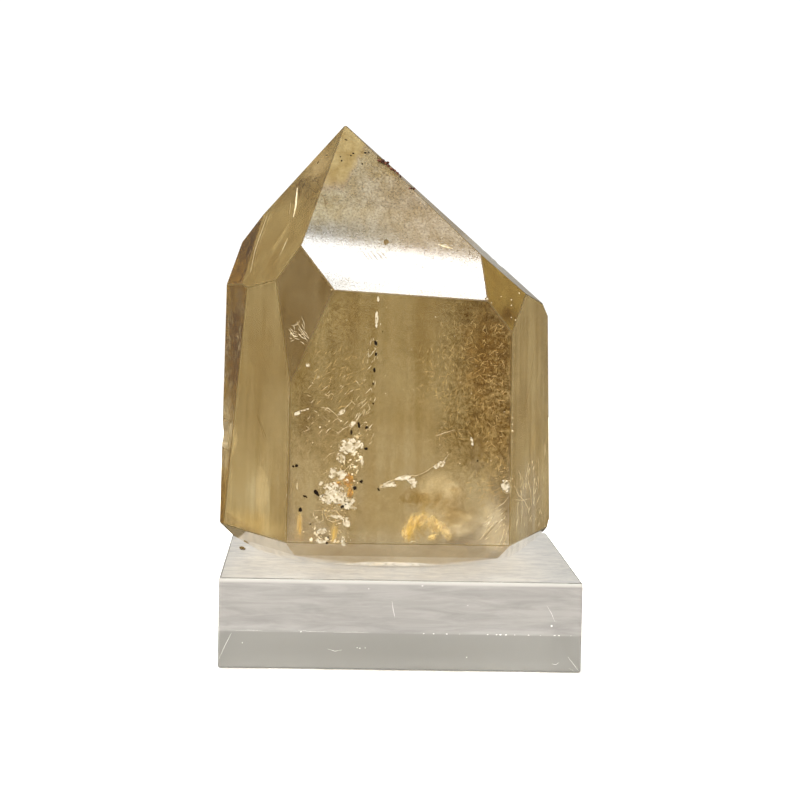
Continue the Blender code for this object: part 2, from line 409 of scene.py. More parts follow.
PATCHES = (  # face, across, up, half width, half height, pattern, ragged, colour, milky share
    ("front", 17.6, 63.0, 9.5, 20.0, "blotches", 1.4, "#d0b072", 0.24),
    ("front", 19.0, 68.0, 7.0, 8.0, "specks", 1.6, "#b89c5c", 0.26),
    ("front", 19.5, 47.0, 5.0, 9.0, "blotches", 1.6, "#d6bc7c", 0.25),
    ("front", 20.0, 52.0, 4.0, 24.0, "specks", 1.8, "#e4cc94", 0.28),
    ("front", -12.4, 72.5, 7.0, 6.0, "blotches", 1.4, "#ccb884", 0.20),
    ("front", -19.8, 53.0, 4.5, 9.0, "blotches", 1.2, "#b8a67c", 0.15),
    ("front", 4.2, 35.5, 7.0, 3.0, "blotches", 1.6, "#c0a66a", 0.17),
    ("front", 11.0, 33.0, 6.0, 8.0, "blotches", 1.4, "#c8b080", 0.19),
    ("front", 19.5, 28.0, 6.5, 7.0, "blotches", 1.4, "#d2c6a8", 0.34),
    ("front", -14.5, 33.0, 7.0, 11.0, "blotches", 1.4, "#c0ae84", 0.14),
    # These four golden patches just above the foot are painted light: the glow the cracks behind them throw forward.
    ("front", 3.6, 29.0, 4.6, 5.0, "blotches", 1.6, "#dcc07c", 0.26),
    ("front", 1.6, 28.6, 2.2, 4.2, "streaks", 1.2, "#e4c470", 0.32),
    ("front", -14.4, 27.6, 1.2, 4.0, "streaks", 0.6, "#e8c878", 0.30),
    ("front", -21.6, 29.0, 1.4, 4.6, "streaks", 0.8, "#e4c888", 0.27),
    ("front right", 28.5, 32.0, 8.0, 14.0, "streaks", 1.4, "#e8dcc0", 0.60),
    ("front right", 33.0, 60.0, 4.0, 24.0, "streaks", 1.2, "#dcc68e", 0.42),
    ("front left", -31.0, 34.0, 10.0, 14.0, "streaks", 0.8, "#e2d4a8", 0.28),
    ("front left", -31.0, 27.6, 14.0, 4.6, "streaks", 0.5, "#f0d694", 0.34),
    ("front left slope", -19.5, 107.0, 5.0, 8.0, "blotches", 0.8, "#c8b07c", 0.50),
    ("front left slope", -20.6, 100.6, 5.5, 6.0, "veins", 0.6, "#5c4218", 0.34),
    ("left slope", -34.0, 88.0, 5.0, 11.0, "streaks", 1.2, "#8a6a38", 0.20),
    ("left", -36.8, 66.0, 6.0, 26.0, "blotches", 1.4, "#946c30", 0.28),
    ("left", -36.8, 60.0, 6.0, 24.0, "veins", 0.8, "#e8dcc0", 0.44),
    ("left", -39.0, 46.0, 4.0, 14.0, "blotches", 0.8, "#f0e4c0", 0.60),
    ("right corner", 22.0, 74.5, 3.5, 5.0, "blotches", 0.8, "#7c5c0c", 0.12),
    ("window", -5.0, 107.5, 9.0, 7.0, "blotches", 1.2, "#907c50", 0.65),
)
for *place, colour, share in PATCHES:
    mask = patch(*place)
    shade = add(tree, "ShaderNodeMix", {0: mask, 6: shade, 7: linear(colour)}, data_type="RGBA").outputs[2]
    milk = add(tree, "ShaderNodeMapRange", {0: mask, 3: milk, 4: share}).outputs[0]
# The window face is yellow beside the tip's left edge, greyer from its middle down, and darkest below
# 97 mm, and every border between is uneven. The greys are partly haze and partly a painted reflection
# of the room in the satin face.
slanting = add(tree, "ShaderNodeMath", {0: spot[0], 1: 13.5}, operation="ADD").outputs[0]
slanting = add(tree, "ShaderNodeMath", {0: slanting, 1: 0.0}, operation="MAXIMUM").outputs[0]
slanting = add(tree, "ShaderNodeMath", {0: slanting, 1: -2.0, 2: spot[2]}, operation="MULTIPLY_ADD").outputs[0]
leftwards = add(tree, "ShaderNodeMapRange", {0: spot[0], 1: 2.0, 2: -18.0}).outputs[0]
for distance, start, end, colour in ((slanting, 100.6, 103.6, "#a6966c"), (slanting, 101.4, 100.4, "#9c9680"),
                                     (spot[2], 96.0, 92.0, "#82827e")):
    border = add(tree, "ShaderNodeMath", {0: patterns["blotches"], 1: 1.2, 2: distance}, operation="MULTIPLY_ADD").outputs[0]
    border = add(tree, "ShaderNodeMapRange", {0: border, 1: start, 2: end}, interpolation_type="SMOOTHSTEP").outputs[0]
    border = add(tree, "ShaderNodeMath", {0: border, 1: masks["window"]}, operation="MULTIPLY").outputs[0]
    if start > end:
        border = add(tree, "ShaderNodeMath", {0: border, 1: leftwards}, operation="MULTIPLY").outputs[0]
    else:
        golden = border
    shade = add(tree, "ShaderNodeMix", {0: border, 6: shade, 7: linear(colour)}, data_type="RGBA").outputs[2]
# Above 90 mm the right slope is brown, and it is too rough there to mirror the wall behind.
dull = add(tree, "ShaderNodeMapRange", {0: spot[2], 1: 88.0, 2: 92.0}).outputs[0]
dull = add(tree, "ShaderNodeMath", {0: dull, 1: masks["right slope"]}, operation="MULTIPLY").outputs[0]
shade = add(tree, "ShaderNodeMix", {0: dull, 6: shade, 7: linear("#9c8a64")}, data_type="RGBA").outputs[2]
# The foot chamfer and the foot below it were only ground, never polished, and look frosted. So do the
# places that are on no ground face at all, which are the chips and the bruised edges. The bruised edges
# are also painted a darker brown, as painted shade over the light that they catch.
down = add(tree, "ShaderNodeSeparateXYZ", {0: looks}).outputs[2]
chamfer = add(tree, "ShaderNodeMapRange", {0: down, 1: -0.45, 2: -0.6}).outputs[0]
foot = add(tree, "ShaderNodeMapRange", {0: spot[2], 1: 22.6, 2: 22.2}).outputs[0]
broken = add(tree, "ShaderNodeMath", {0: 1.0, 1: chamfer}, operation="SUBTRACT").outputs[0]
for mask in (foot, *masks.values()):
    broken = add(tree, "ShaderNodeMath", {0: broken, 1: mask}, operation="SUBTRACT", use_clamp=True).outputs[0]
chipped = 0.0
for place, reach in (((-40.3, -1.6, 45.8), 5.5), ((22.5, -30.5, 38.2), 2.4), ((8.4, -21.8, 89.4), 2.0)):
    away = add(tree, "ShaderNodeVectorMath", {0: where, 1: place}, operation="DISTANCE").outputs["Value"]
    away = add(tree, "ShaderNodeMapRange", {0: away, 1: reach, 2: reach * 0.9}).outputs[0]
    chipped = add(tree, "ShaderNodeMath", {0: away, 1: broken, 2: chipped}, operation="MULTIPLY_ADD").outputs[0]
# The bruised edges get a darker brown: painted shade that hides the light they catch.
for mask, colour, share in ((chamfer, "#dacba8", 0.30), (foot, "#f0ece4", 0.06), (broken, "#a48f58", 0.22), (chipped, "#cdbf9a", 0.32)):
    shade = add(tree, "ShaderNodeMix", {0: mask, 6: shade, 7: linear(colour)}, data_type="RGBA").outputs[2]
    milk = add(tree, "ShaderNodeMapRange", {0: mask, 3: milk, 4: share}).outputs[0]

# %% Citrine surface
sideways = add(tree, "ShaderNodeMapRange", {0: spot[0], 1: -5.0, 2: -12.0, 4: 0.4}).outputs[0]
sideways = add(tree, "ShaderNodeMapRange", {0: spot[0], 1: 6.0, 2: 13.0, 3: sideways, 4: 1.0}).outputs[0]
sideways = add(tree, "ShaderNodeMath", {0: sideways, 1: masks["front"]}, operation="MULTIPLY").outputs[0]
speckled = add(tree, "ShaderNodeMapRange", {0: spot[2], 1: 36.0, 2: 48.0, 4: sideways}).outputs[0]
for name in ("left slope", "left"):
    speckled = add(tree, "ShaderNodeMath", {0: speckled, 1: masks[name]}, operation="ADD", use_clamp=True).outputs[0]
speckled = add(tree, "ShaderNodeMapRange", {0: speckled, 3: 0.30}).outputs[0]
uneven = add(tree, "ShaderNodeMath", {0: clouds, 1: growth}, operation="ADD").outputs[0]
for pattern, low, high, darkest, share in ((uneven, 0.8, 1.2, "#e0d6c0", 1.0), (patterns["specks"], 0.2, 0.8, "#a4946a", speckled),
                                           (patterns["blotches"], 0.1, 0.9, "#c8b894", speckled)):
    pattern = add(tree, "ShaderNodeMapRange", {0: pattern, 1: low, 2: high}).outputs[0]
    tone = add(tree, "ShaderNodeMix", {0: pattern, 6: linear(darkest), 7: linear("#ffffff")}, data_type="RGBA").outputs[2]
    shade = add(tree, "ShaderNodeMix", {0: share, 6: shade, 7: tone}, data_type="RGBA", blend_type="MULTIPLY").outputs[2]
# The window face is only satin: its grain breaks up the edge of what it mirrors. The real grain is near
# 0.1 mm, and is drawn four times as coarse so that it shows.
grain = add(tree, "ShaderNodeTexNoise", {"Vector": where, "Scale": 1 / 0.42, "Detail": 2.0}).outputs[0]
satin = add(tree, "ShaderNodeMapRange", {0: grain, 1: 0.3, 2: 0.7, 3: -0.26, 4: 0.26}).outputs[0]
grainy = add(tree, "ShaderNodeMath", {0: masks["window"], 1: golden}, operation="SUBTRACT", use_clamp=True).outputs[0]
satin = add(tree, "ShaderNodeMath", {0: satin, 1: grainy}, operation="MULTIPLY").outputs[0]
milk = add(tree, "ShaderNodeMath", {0: milk, 1: satin}, operation="ADD").outputs[0]
clear = add(tree, "ShaderNodeMath", {0: 1.0, 1: milk}, operation="SUBTRACT", use_clamp=True).outputs[0]
haze = add(tree, "ShaderNodeMapRange", {0: masks["window"], 3: 0.16, 4: 0.045}).outputs[0]
haze = add(tree, "ShaderNodeMapRange", {0: broken, 3: haze, 4: 0.5}).outputs[0]
grained = add(tree, "ShaderNodeBump", {"Height": satin, "Strength": 1.0, "Distance": 0.0022 * MM}).outputs[0]
polish = add(tree, "ShaderNodeMapRange", {0: dull, 3: 1.0, 4: 0.15}).outputs[0]
surface = add(tree, "ShaderNodeBsdfPrincipled", {
    "Base Color": shade, "Roughness": haze, "IOR": 1.544, "Transmission Weight": clear,
    "Coat Weight": polish, "Coat Roughness": 0.02, "Coat IOR": 1.544, "Coat Normal": grained})
absorb = add(tree, "ShaderNodeVolumeAbsorption", {"Color": (0.76, 0.68, 0.46, 1), "Density": 40.0})
add(tree, "ShaderNodeOutputMaterial", {"Surface": surface.outputs[0], "Volume": absorb.outputs[0]})
stone.data.materials.clear()
stone.data.materials.append(citrine)
# Clear quartz lets light through to what lies in and under it.
stone.visible_shadow = False
print("citrine:", len(tree.nodes), "nodes")

# %% [markdown]
# ## Finishes of what is inside
# Healed cracks are thin sheets that mirror like mother of pearl and break off in ragged flakes. A veil is
# such a sheet, with an alpha that comes from two things: how near the sheet's middle a point is, kept in
# an attribute named core, and a noise as coarse as the flakes. One recipe gives all the veils, so they
# differ only in colour, grain, cover and how hard their edges are.

# %% Veil finishes


def veil_finish(name, pale, deep, grain_mm, cover, softness, strength, fade, upright=1.0, facet_mm=None):
    """A see-through sheet finish: cover is the share that shows, softness how slowly its flakes fade, fade
    the part of the sheet, from its rim inwards, over which it comes up to its strength, and upright how
    much taller than wide its flakes are. With a facet size the flakes break along straight edges."""
    made, tree = new_material(name)
    where, _ = patterned(tree)
    core = add(tree, "ShaderNodeAttribute", attribute_name="core").outputs["Fac"]
    tall = add(tree, "ShaderNodeMapping", {
        0: where, "Scale": (1 / grain_mm, 1 / grain_mm, 1 / grain_mm / upright)}).outputs[0]
    coarse = add(tree, "ShaderNodeTexNoise", {"Vector": tall, "Scale": 1.0, "Detail": 5.0, "Roughness": 0.7,
                                              "Distortion": 0.9}).outputs[0]
    coarse = add(tree, "ShaderNodeMapRange", {0: coarse, 1: 0.3, 2: 0.7}, clamp=False).outputs[0]
    fine = add(tree, "ShaderNodeTexNoise", {"Vector": where, "Scale": 2.7 / grain_mm, "Detail": 3.0}).outputs[0]
    fine = add(tree, "ShaderNodeMapRange", {0: fine, 1: 0.35, 2: 0.65}).outputs[0]
    if facet_mm:
        facets = add(tree, "ShaderNodeTexVoronoi", {"Vector": where, "Scale": 1 / facet_mm}).outputs["Color"]
        facets = add(tree, "ShaderNodeSeparateColor", {0: facets}).outputs[0]
        coarse = add(tree, "ShaderNodeMix", {0: 0.55, 2: coarse, 3: facets}, data_type="FLOAT").outputs[0]
        fine = add(tree, "ShaderNodeMix", {0: 0.75, 2: fine, 3: facets}, data_type="FLOAT").outputs[0]
    both = add(tree, "ShaderNodeMath", {0: core, 1: 0.6, 2: coarse}, operation="MULTIPLY_ADD").outputs[0]
    edge = 1.25 - cover
    alpha = add(tree, "ShaderNodeMapRange", {0: both, 1: edge - softness / 2, 2: edge + softness / 2, 4: strength},
                interpolation_type="SMOOTHSTEP").outputs[0]
    rim = add(tree, "ShaderNodeMapRange", {0: core, 2: fade}, interpolation_type="SMOOTHSTEP").outputs[0]
    alpha = add(tree, "ShaderNodeMath", {0: alpha, 1: rim}, operation="MULTIPLY").outputs[0]
    tone = add(tree, "ShaderNodeMix", {0: fine, 6: linear(deep), 7: linear(pale)}, data_type="RGBA").outputs[2]
    flaky = add(tree, "ShaderNodeBump", {"Height": fine, "Strength": 0.6, "Distance": 0.1 * MM}).outputs[0]
    surface = add(tree, "ShaderNodeBsdfPrincipled", {
        "Base Color": tone, "Roughness": 0.45, "Alpha": alpha, "Normal": flaky}).outputs[0]
    add(tree, "ShaderNodeOutputMaterial", {0: surface})
    return made


PEARL = veil_finish("Healed crack, pearly", "#d6ccb6", "#86703c", 0.6, 0.47, 0.12, 0.80, 0.20, facet_mm=0.45)
HAZE = veil_finish("Milky haze of fluid specks", "#efe6d2", "#d8ccb0", 1.6, 0.60, 0.9, 0.18, 0.9)
SMOKE = veil_finish("Smoky cloud of dark specks", "#8a6e3c", "#5c4420", 0.5, 0.40, 0.5, 0.12, 0.9)
# Painted glow: pale gold crack sheets that stand for the light that cracks near the foot throw forward.
PAINTED_GOLD_GLOW = veil_finish("Painted glow of golden cracks", "#f8e8ac", "#dcc07c", 0.5, 0.50, 0.4, 0.42, 0.8, 2.0)
RUST = veil_finish("Iron stain in a crack", "#f8cc60", "#c89020", 0.7, 0.55, 0.5, 0.70, 0.3)

# %% [markdown]
# Solid inclusions need no alpha. Flakes and bruises are crushed quartz, white with a trace of the
# stone's honey. Specks are goethite, an iron mineral that is nearly black and a little metallic.

# %% Solid finishes


def grain_finish(name, pale, deep, grain_mm, roughness):
    made, tree = new_material(name)
    where, _ = patterned(tree)
    fine = add(tree, "ShaderNodeTexNoise", {"Vector": where, "Scale": 1 / grain_mm, "Detail": 4.0}).outputs[0]
    fine = add(tree, "ShaderNodeMapRange", {0: fine, 1: 0.35, 2: 0.65}).outputs[0]
    tone = add(tree, "ShaderNodeMix", {0: fine, 6: linear(deep), 7: linear(pale)}, data_type="RGBA").outputs[2]
    rough = add(tree, "ShaderNodeMapRange", {0: fine, 3: roughness, 4: roughness + 0.2}).outputs[0]
    bumpy = add(tree, "ShaderNodeBump", {"Height": fine, "Strength": 0.5, "Distance": 0.05 * MM}).outputs[0]
    surface = add(tree, "ShaderNodeBsdfPrincipled", {
        "Base Color": tone, "Roughness": rough, "Specular IOR Level": 0.15, "Normal": bumpy}).outputs[0]
    add(tree, "ShaderNodeOutputMaterial", {0: surface})
    return made


FLAKE = grain_finish("Crushed quartz", "#d4cab4", "#a08e64", 0.4, 0.5)
GOETHITE = grain_finish("Goethite", "#1c1006", "#080402", 0.2, 0.75)
CRUST = grain_finish("Iron oxide crust", "#6a4030", "#1c1210", 0.5, 0.55)
HAIR = grain_finish("Dark hairline", "#645438", "#4c3c20", 0.5, 0.6)

# %% [markdown]
# ## Shapes of what is inside
# Four shapes do all the work. A plate is a thin cone with few sides and an uneven rim. A speck is a small
# rough ball. A veil is a grid bent to an oval and crumpled. A hairline is one short edge that is
# extruded along its path. Each is made in millimetres, and the whole piece is scaled to metres at the end.

# %% Place and finish a piece


def laid(place, face, turn=0.0, tilt=0.0):
    """Turns a flat shape to lie along a ground face at a place, then turns and tilts it in degrees."""
    outward = facing(*GROUND_FACES[face][:2])
    return (Matrix.Translation(place) @ outward.to_track_quat("Z", "Y").to_matrix().to_4x4()
            @ Matrix.Rotation(math.radians(turn), 4, "Z") @ Matrix.Rotation(math.radians(tilt), 4, "X"))


def finished(name, shape, material):
    """Makes a piece of a bmesh in millimetres. It rides on the one body there is."""
    bmesh.ops.scale(shape, vec=(MM, MM, MM), verts=shape.verts)
    bmesh.ops.recalc_face_normals(shape, faces=shape.faces)
    mesh = bpy.data.meshes.new(name)
    shape.to_mesh(mesh)
    shape.free()
    mesh.materials.append(material)
    piece = bpy.data.objects.new(name, mesh)
    scene.collection.objects.link(piece)
    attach(piece, "root")
    print(name, len(mesh.polygons), "faces")
    return piece


# %% The four shapes


def add_plate(shape, where, size, thick, draw):
    """A broken plate, three to five sided, laid by a matrix."""
    rim = bmesh.ops.create_cone(
        shape, cap_ends=True, segments=draw.choice((3, 4, 5)), radius1=0.5, radius2=0.4, depth=thick,
        matrix=where @ Matrix.Diagonal((size[0], size[1], 1, 1)))["verts"]
    middle = where.translation
    for corner in rim:
        corner.co = middle + (corner.co - middle) * draw.uniform(0.75, 1.25)


def add_speck(shape, where, size, draw):
    """A rough grain, twenty-sided."""
    skin = bmesh.ops.create_icosphere(
        shape, subdivisions=1, radius=0.5, matrix=where @ Matrix.Diagonal((*size, 1)))["verts"]
    middle = where.translation
    for corner in skin:
        corner.co = middle + (corner.co - middle) * draw.uniform(0.75, 1.2)


VEIL_STEPS = 9


def add_veil(shape, core, where, size, crumple, seed):
    """An oval sheet, one at its core and nought at its rim, crumpled out of its plane."""
    sheet = bmesh.ops.create_grid(shape, x_segments=VEIL_STEPS, y_segments=VEIL_STEPS, size=1.0)["verts"]
    for corner in sheet:
        across, along = corner.co.x, corner.co.y
        round_across = across * math.sqrt(1 - along * along / 2)
        round_along = along * math.sqrt(1 - across * across / 2)
        corner[core] = max(0.0, 1 - round_across ** 2 - round_along ** 2)
        lift = noise.noise(Vector((across * 1.6 + seed, along * 1.6 - seed, seed * 0.7))) * crumple
        corner.co = where @ Vector((round_across * size[0] / 2, round_along * size[1] / 2, lift))


HAIR_THICK = 0.03


def add_hairline(shape, places, width, outward):
    """A flat hairline through these places, tapering to both ends, with a little thickness."""
    faces = []
    edge = None
    for number, place in enumerate(places):
        before, after = places[max(number - 1, 0)], places[min(number + 1, len(places) - 1)]
        side = (after - before).cross(outward).normalized()
        taper = 0.35 if number in (0, len(places) - 1) else 1.0
        ends = [place + side * width * taper / 2, place - side * width * taper / 2]
        if edge is None:
            edge = shape.edges.new([shape.verts.new(end) for end in ends])
            continue
        grown = bmesh.ops.extrude_edge_only(shape, edges=[edge])["geom"]
        edge = next(piece for piece in grown if isinstance(piece, bmesh.types.BMEdge)
                    and all(v in grown for v in piece.verts))
        faces += [piece for piece in grown if isinstance(piece, bmesh.types.BMFace)]
        first, second = edge.verts
        if (first.co - ends[0]).length + (second.co - ends[1]).length > (
                first.co - ends[1]).length + (second.co - ends[0]).length:
            ends.reverse()
        first.co, second.co = ends
    bmesh.ops.solidify(shape, geom=faces, thickness=HAIR_THICK)


# %% [markdown]
# ## The healed crack and its fan
# One crack runs down from the front face's top edge, and opens into a fan of broken, healed flakes near
# the foot. Its big pearly patches are veils, its small flakes are plates scattered in the fan's outline.

# %% Pearly patches under the front face
PEARL_PATCHES = (  # across, up, depth, width, height, turn
    (-11.3, 46.3, 1.2, 4.8, 3.4, 10), (-9.4, 46.6, 1.6, 2.2, 1.8, -30), (-13.0, 43.8, 1.4, 1.8, 2.4, 30),
    (-14.7, 40.6, 1.0, 1.8, 2.6, -20), (-12.9, 40.2, 1.8, 2.4, 2.0, 20), (-14.4, 36.2, 1.2, 5.4, 4.4, -38),
    (-12.2, 34.2, 1.6, 3.6, 2.6, -30), (-16.2, 35.0, 1.0, 2.8, 2.2, -30), (-10.9, 34.8, 0.9, 2.2, 1.2, -15),
    (-10.4, 33.2, 0.8, 1.8, 0.8, -15), (-11.6, 30.0, 1.0, 1.6, 2.4, 10), (-12.2, 25.9, 0.8, 1.0, 2.2, 5),
    (-16.9, 28.1, 1.0, 2.2, 1.2, 20), (-16.8, 25.9, 0.8, 3.0, 1.0, -15), (-8.6, 42.8, 1.0, 0.7, 2.4, 0),
    (-10.8, 51.0, 1.0, 1.7, 1.1, 40), (-13.2, 53.4, 0.9, 1.8, 1.0, 40), (-6.1, 73.2, 0.5, 0.7, 3.6, 0),
    (-5.9, 77.4, 0.4, 0.5, 1.2, 0), (-17.2, 38.3, 0.8, 1.1, 0.8, 40), (-13.6, 31.2, 1.0, 3.4, 0.8, -10),
)
CROSS_CRACK_PATCHES = (
    (-3.2, 38.2, 0.8, 3.2, 1.2, 18), (-1.6, 38.0, 0.9, 1.0, 0.8, 0), (0.2, 39.7, 0.9, 3.4, 0.9, 8),
    (2.2, 39.0, 1.0, 2.6, 1.4, -30), (2.4, 38.0, 1.2, 1.4, 1.2, 40), (7.8, 42.6, 0.8, 2.6, 1.3, 28),
    (14.6, 47.6, 0.8, 0.6, 2.0, 10), (22.0, 38.4, 0.9, 2.0, 2.6, 20),
)
SILK_PATCHES = (
    (-20.4, 63.3, 0.6, 0.9, 0.8, 0), (-22.4, 53.1, 0.8, 1.5, 0.8, 30), (-20.9, 53.8, 0.8, 2.2, 0.35, 15),
)
draw = random.Random(11)
shape = bmesh.new()
core = shape.verts.layers.float.new("core")
for across, up, depth, width, tall, turn in (*PEARL_PATCHES, *CROSS_CRACK_PATCHES, *SILK_PATCHES):
    for level, lean, crumple in ((-0.06, 0, 0.05), (depth, draw.uniform(-12, 12), 0.7)):
        place = under("front", across, up, level)
        add_veil(shape, core, laid(place, "front", turn, lean), (width * 1.1, tall * 1.1), crumple, draw.uniform(0, 50))
bmesh.ops.solidify(shape, geom=shape.faces[:], thickness=0.02)
finished("pearly_cracks", shape, PEARL)

# %% [markdown]
# The fan widens downwards from a point beside the crack. A flake is more often small than large, and
# lies within 40 degrees of the front face, which is why the fan glitters.

# %% Flakes of the fan
FAN_TOP, FAN_FOOT = 49.0, 25.0
draw = random.Random(5)
shape = bmesh.new()
for _ in range(180):
    down = draw.random()
    up = FAN_TOP + (FAN_FOOT - FAN_TOP) * down
    left, right = -10.0 - 10.0 * down, -8.4 - 2.4 * down
    across = draw.uniform(left, right)
    size = 0.26 + 0.95 * draw.random() ** 2.5
    where = laid(under("front", across, up, draw.choice((-0.02, -0.02, 0.8))), "front", draw.uniform(0, 180),
                 draw.uniform(-12, 12))
    add_plate(shape, where, (size, size * draw.uniform(0.35, 0.9)), 0.06, draw)
for across, up, depth, size in ((-22.7, 52.9, 0.6, 0.75), (-13.2, 51.6, 0.5, 0.6), (-13.8, 43.6, 0.6, 0.7),
                                (-20.7, 27.9, 0.5, 0.6), (-17.2, 38.5, 0.5, 0.5), (-17.6, 50.2, 0.6, 0.5),
                                (-15.7, 51.5, 0.6, 0.45), (-17.9, 31.1, 0.5, 0.5)):
    add_plate(shape, laid(under("front", across, up, -0.02), "front", 35, 0), (size, size * 0.6), 0.08, draw)
finished("fan_flakes", shape, FLAKE)

# %% [markdown]
# The bright hairlines are cracks seen edge on: the main crack, the short cross crack that climbs to the
# right, the ripples beside the fan, and the feathers in the lower right corner.

# %% Bright hairlines
BRIGHT_LINES = {  # face: (width, places as across and up)
    "front": (
        (0.12, ((4.8, 41.0), (6.3, 42.1), (8.6, 43.3), (9.8, 45.0))),
        (0.10, ((-5.0, 37.4), (-3.4, 38.6), (0.4, 40.3), (2.8, 40.2), (4.8, 41.0))),
        (0.14, ((6.8, 48.7), (8.9, 49.5), (11.0, 50.1))), (0.08, ((4.6, 47.4), (6.0, 48.0))),
        (0.20, ((16.8, 26.8), (18.4, 28.9), (20.3, 30.9))), (0.34, ((18.0, 29.5), (18.9, 30.8), (19.4, 31.9))),
        (0.16, ((20.1, 24.6), (21.4, 26.8), (22.0, 29.2))), (0.12, ((20.8, 24.2), (22.2, 26.6), (22.8, 30.4))),
        (0.14, ((21.6, 24.4), (22.9, 27.0))), (0.14, ((19.8, 33.4), (21.6, 34.6), (22.8, 36.2))),
        (0.30, ((-22.2, 38.4), (-22.25, 37.7), (-22.2, 36.9))),
        (0.10, ((-18.7, 32.4), (-16.8, 32.6), (-16.6, 30.5), (-17.6, 29.9), (-18.7, 31.6), (-18.7, 32.4))),
        (0.12, ((-16.4, 32.4), (-13.9, 32.5), (-12.4, 30.9), (-14.5, 30.1), (-15.7, 30.6), (-16.5, 32.2))),
        (0.12, ((-17.9, 28.0), (-16.2, 28.6), (-15.8, 28.0), (-17.6, 26.9), (-17.9, 28.0))),
        (0.10, ((-17.6, 54.4), (-15.9, 54.2), (-14.6, 53.2), (-13.6, 52.2))),
        (0.10, ((-13.4, 53.3), (-12.0, 54.7), (-10.8, 56.0))), (0.12, ((-11.6, 49.4), (-10.2, 51.6), (-8.2, 54.2))),
        (0.10, ((-17.0, 52.6), (-15.8, 51.4))), (0.10, ((-14.2, 48.6), (-12.6, 50.0), (-11.2, 50.6))),
        (0.10, ((-16.6, 43.4), (-15.4, 44.6), (-14.2, 45.0))), (0.14, ((-17.0, 40.2), (-15.6, 40.9))),
        (0.10, ((-10.0, 43.4), (-11.8, 41.6), (-12.8, 40.6))), (0.12, ((-15.0, 37.9), (-12.6, 37.5))),
        (0.22, ((1.6, 25.9), (2.6, 26.3), (3.2, 26.1))),
    ),
    "window": ((0.60, ((6.9, 89.2), (8.0, 88.8), (8.9, 88.6), (10.1, 88.3))),),
    "left kite": (
        (0.34, ((-24.2, 69.9), (-23.5, 69.2), (-22.7, 69.2))), (0.16, ((-24.6, 70.6), (-24.0, 69.8), (-22.8, 69.6))),
        (0.12, ((-23.0, 72.4), (-22.2, 71.0), (-21.2, 69.6), (-20.3, 68.8))), (0.10, ((-22.0, 73.4), (-21.4, 72.0), (-21.2, 70.4))),
        (0.12, ((-22.6, 70.8), (-21.4, 69.4), (-20.6, 68.2))), (0.10, ((-21.6, 70.6), (-20.8, 69.8), (-20.3, 68.8))),
        (0.08, ((-23.6, 71.6), (-22.8, 71.8), (-22.2, 72.6))), (0.14, ((-22.6, 69.8), (-21.8, 69.0), (-20.6, 68.6))),
    ),
    "front left slope": (
        (0.60, ((-23.7, 100.9), (-23.8, 98.6), (-23.9, 96.6), (-24.3, 94.4))), (0.14, ((-25.0, 97.4), (-25.3, 95.0))),
        (0.14, ((-25.4, 89.8), (-26.3, 87.6), (-27.0, 86.1))),
    ),
    "left slope": (
        (0.10, ((-30.2, 95.4), (-31.6, 91.0), (-32.8, 87.0), (-33.6, 82.0))),
        (0.12, ((-32.8, 88.2), (-34.6, 85.4))), (0.12, ((-35.0, 82.0), (-35.8, 79.6))),
    ),
    "front right": (
        (0.30, ((28.0, 38.6), (28.9, 35.0), (29.3, 32.0))), (0.22, ((30.0, 38.0), (29.8, 34.6), (30.2, 31.6))),
        (0.24, ((33.0, 45.0), (33.1, 43.2), (33.0, 41.6))), (0.16, ((31.0, 42.0), (31.4, 38.0), (31.2, 35.0))),
        (0.18, ((26.0, 36.6), (26.6, 32.6), (26.2, 28.2))), (0.20, ((25.0, 34.2), (25.4, 30.6), (24.8, 27.6))),
        (0.14, ((27.4, 33.4), (28.0, 30.0))), (0.12, ((32.2, 40.2), (32.8, 37.0))),
        (0.16, ((24.2, 38.0), (25.4, 35.6), (27.2, 33.8), (28.6, 31.2))), (0.12, ((24.4, 35.0), (26.4, 34.2), (28.8, 33.8))),
        (0.10, ((25.2, 41.0), (26.4, 38.8), (26.8, 35.8))), (0.12, ((28.2, 41.8), (27.4, 38.6), (27.8, 35.2))),
    ),
}
shape = bmesh.new()
for face, lines in BRIGHT_LINES.items():
    outward = facing(*GROUND_FACES[face][:2])
    for width, places in lines:
        width *= 1.0 if face.endswith("slope") else 0.6
        add_hairline(shape, [under(face, across, up, -0.03) for across, up in places], width, outward)
finished("bright_hairlines", shape, FLAKE)

# %% Fine ripples and dust
# Short ripples left of the crack's foot and in both corners, and dust in the whole front of the stone.


def add_threads(shape, draw, face, count, bounds, turns, width):
    """Short slightly bent hairlines, scattered between left, right, low and high on a face."""
    left, right, low, high = bounds
    outward = facing(*GROUND_FACES[face][:2])
    for _ in range(count):
        across, up = draw.uniform(left, right), draw.uniform(low, high)
        turn, long = math.radians(draw.choice(turns) + draw.uniform(-15, 15)), draw.uniform(0.25, 0.8)
        step = (long * math.cos(turn), long * math.sin(turn))
        bend = draw.uniform(-0.15, 0.15)
        add_hairline(shape, [under(face, across + share * step[0], up + share * step[1] + rise, -0.03)
                             for share, rise in ((-1, 0), (0, bend), (1, 0))], width, outward)


